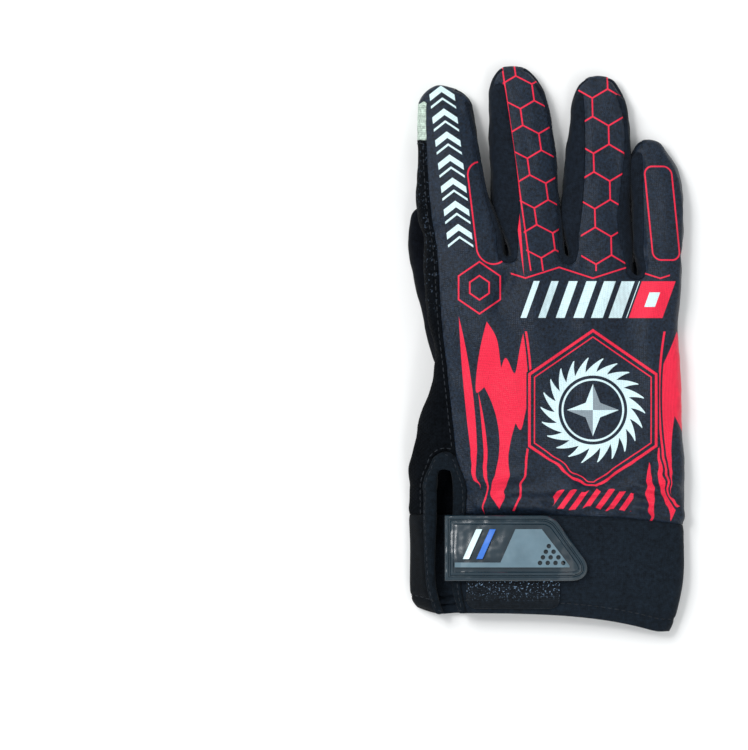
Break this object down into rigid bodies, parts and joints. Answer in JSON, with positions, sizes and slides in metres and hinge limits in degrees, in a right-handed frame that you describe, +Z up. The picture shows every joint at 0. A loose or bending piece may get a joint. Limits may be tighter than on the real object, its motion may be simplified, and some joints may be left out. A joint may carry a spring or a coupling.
{
  "type": "cycling glove",
  "caption": "Full-finger cycling glove for the right hand with a printed stretch back, hook-and-loop wrist tab and slit cuff, lying back up with the thumb folded under",
  "frame": {"origin": "middle of the glove's box at the surface it lies on", "axes": "+X from the index side to the little finger's side, +Y from the cuff to the fingertips, +Z up from the palm to the back of the hand"},
  "size_m": [0.1146, 0.2347, 0.0288],
  "materials": {
    "back_fabric": "printed knit",
    "palm_fabric": "textured suede",
    "fourchette_fabric": "stretch knit",
    "touch_fabric": "conductive knit",
    "cuff_neoprene": "neoprene with a knit face",
    "binding_tape": "stitched knit tape",
    "tab_plastic": "soft gloss",
    "plate_plastic": "soft gloss",
    "white_plastic": "soft gloss",
    "blue_plastic": "soft gloss",
    "loop_fabric": "brushed loop"
  },
  "bodies": {
    "root": {"back_panel": "back_fabric", "palm_panel": "palm_fabric", "fourchette_index_middle": "fourchette_fabric", "fourchette_middle_ring": "fourchette_fabric", "fourchette_ring_pinky": "fourchette_fabric", "thumb": "palm_fabric", "touch_patch": "touch_fabric", "cuff": "cuff_neoprene", "slit_binding": "binding_tape", "loop_patch": "loop_fabric", "strap_tab": "tab_plastic", "strap_plate": "plate_plastic", "strap_bar_white": "white_plastic", "strap_bar_blue": "blue_plastic"}
  },
  "joints": []
}
